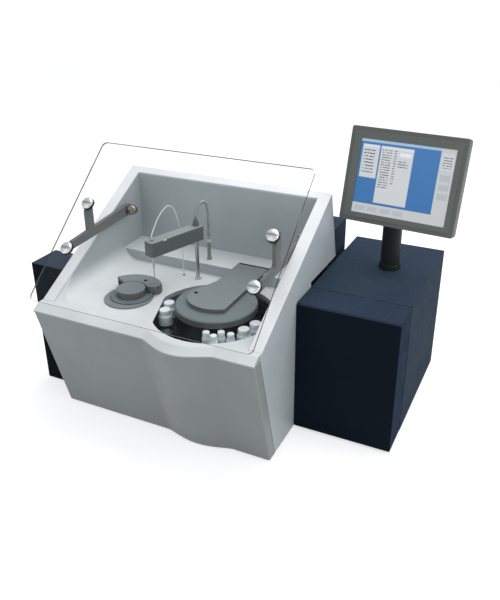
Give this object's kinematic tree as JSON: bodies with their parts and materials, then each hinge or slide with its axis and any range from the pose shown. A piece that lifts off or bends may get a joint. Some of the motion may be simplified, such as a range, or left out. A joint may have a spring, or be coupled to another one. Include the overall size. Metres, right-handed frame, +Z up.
{
  "type": "benchtop chemistry analyzer",
  "caption": "Benchtop chemistry analyzer with a sloping glass lid over a reagent carousel, cuvette rotor and pipetting arm, a side cabinet and a tilting monitor.",
  "frame": {"origin": "middle of the bounding box of the footprint, on the bench", "axes": "+X to the right seen from the front, +Y to the back, +Z up; the front panel faces -Y"},
  "size_m": [0.9276, 0.645, 0.6468],
  "materials": {
    "white_shell": "satin white moulding",
    "side_paint": "satin light grey paint",
    "navy_paint": "fine textured dark navy paint",
    "black_plastic": "matt black",
    "disc_grey": "satin mid grey",
    "arm_paint": "satin dark grey",
    "arm_metal": "satin dark grey paint",
    "steel": "brushed",
    "motor_metal": "dark metal",
    "knob_chrome": "polished",
    "rubber": "matt",
    "bottle_plastic": "translucent white",
    "clear_tube": "translucent",
    "lid_glass": "clear, polished edges",
    "bezel_grey": "fine matt grey",
    "screen": "lit screen behind glass",
    "frame_aluminium": "plain",
    "box_grey": "grey",
    "plate_grey": "grey",
    "brass": "turned"
  },
  "bodies": {
    "instrument": {"base_plate": "plate_grey", "front_panel": "white_shell", "side_panel_right": "side_paint", "side_panel_left": "side_paint", "rim_frame": "white_shell", "rear_panel": "side_paint", "deck_moulding": "white_shell", "rear_housing": "navy_paint", "left_pod": "navy_paint", "reagent_tub": "black_plastic", "reagent_motor": "motor_metal", "drive_belt": "rubber", "reagent_cover": "disc_grey", "cover_slab": "disc_grey", "cuvette_dish": "disc_grey", "cuvette_shield": "disc_grey", "cuvette_motor": "motor_metal", "photometer_block": "motor_metal", "wash_well": "bottle_plastic", "lift_guide": "frame_aluminium", "hose_guide_tube": "arm_metal", "lid_pivot_left": "motor_metal", "lid_pivot_right": "motor_metal", "cabinet_shell": "navy_paint", "door_hinge": "steel", "computer_unit": "box_grey", "power_supply": "box_grey", "fan_frame": "black_plastic", "monitor_base": "black_plastic"},
    "lid": {"lid_glass": "lid_glass", "lid_knob_1": "knob_chrome", "lid_knob_2": "knob_chrome", "lid_knob_3": "knob_chrome", "lid_knob_4": "knob_chrome", "lid_arm_left": "arm_metal", "lid_arm_right": "arm_metal"},
    "lift": {"arm_column": "steel", "lift_nut": "brass", "column_gland": "black_plastic", "ribbed_hose": "steel", "clear_tube": "clear_tube"},
    "arm": {"arm_chassis": "frame_aluminium", "arm_cover": "arm_paint", "probe": "steel"},
    "screw": {"lift_screw": "steel"},
    "carousel": {"reagent_rotor": "black_plastic", "reagent_shaft": "steel", "large_bottles_left": "bottle_plastic", "large_bottles_right": "bottle_plastic", "small_bottles": "bottle_plastic"},
    "belt_pulley": {"motor_pulley": "steel"},
    "cuvettes": {"cuvette_ring": "black_plastic", "cuvette_cap": "disc_grey"},
    "monitor_post": {"monitor_column": "black_plastic"},
    "monitor_head": {"monitor_shell": "bezel_grey", "monitor_bezel": "bezel_grey", "monitor_panel": "screen"},
    "door": {"cabinet_door": "navy_paint"},
    "fan": {"fan_rotor": "black_plastic"},
    "switch": {"power_switch": "black_plastic"}
  },
  "joints": [
    {"name": "lid_tilt", "type": "hinge", "parent": "instrument", "child": "lid", "pos_m": [-0.0838, 0.0285, 0.416], "axis": [-1, 0, 0], "range_deg": [0, 50]},
    {"name": "arm_lift", "type": "slide", "parent": "instrument", "child": "lift", "axis": [0, 0, 1], "range_m": [-0.064, 0]},
    {"name": "arm_turn", "type": "hinge", "parent": "lift", "child": "arm", "pos_m": [-0.0918, -0.0235, 0.394], "axis": [0, 0, 1], "range_deg": [-21.83, 46.3]},
    {"name": "lift_screw_spin", "type": "hinge", "parent": "instrument", "child": "screw", "pos_m": [-0.0918, -0.0015, 0.1], "axis": [0, 0, 1], "range_deg": [-1441, 1]},
    {"name": "reagent_spin", "type": "hinge", "parent": "instrument", "child": "carousel", "pos_m": [0.0172, -0.1415, 0.231], "axis": [0, 0, 1], "continuous": true},
    {"name": "reagent_motor_spin", "type": "hinge", "parent": "instrument", "child": "belt_pulley", "pos_m": [0.08998, -0.08044, 0.147], "axis": [0, 0, 1], "continuous": true},
    {"name": "cuvette_spin", "type": "hinge", "parent": "instrument", "child": "cuvettes", "pos_m": [-0.1817, -0.1645, 0.266], "axis": [0, 0, 1], "continuous": true},
    {"name": "monitor_swivel", "type": "hinge", "parent": "instrument", "child": "monitor_post", "pos_m": [0.3122, 0.1695, 0.337], "axis": [0, 0, 1], "range_deg": [-45, 45]},
    {"name": "monitor_tilt", "type": "hinge", "parent": "monitor_post", "child": "monitor_head", "pos_m": [0.3122, 0.1695, 0.5], "axis": [-0.9965, 0.0837, 0], "range_deg": [-15, 20]},
    {"name": "door_swing", "type": "hinge", "parent": "instrument", "child": "door", "pos_m": [0.407, -0.005, 0.16], "axis": [0, 0, 1], "range_deg": [0, 95]},
    {"name": "fan_spin", "type": "hinge", "parent": "instrument", "child": "fan", "pos_m": [0.0762, 0.2655, 0.25], "axis": [0, 1, 0], "continuous": true},
    {"name": "power_switch_rock", "type": "hinge", "parent": "instrument", "child": "switch", "pos_m": [-0.2358, 0.28, 0.06], "axis": [1, 0, 0], "range_deg": [-6, 6]}
  ],
  "couplings": [
    {"joint": "lift_screw_spin", "follows": "arm_lift", "rad_per_m": 392.7},
    {"joint": "reagent_motor_spin", "follows": "reagent_spin", "ratio": 3}
  ]
}
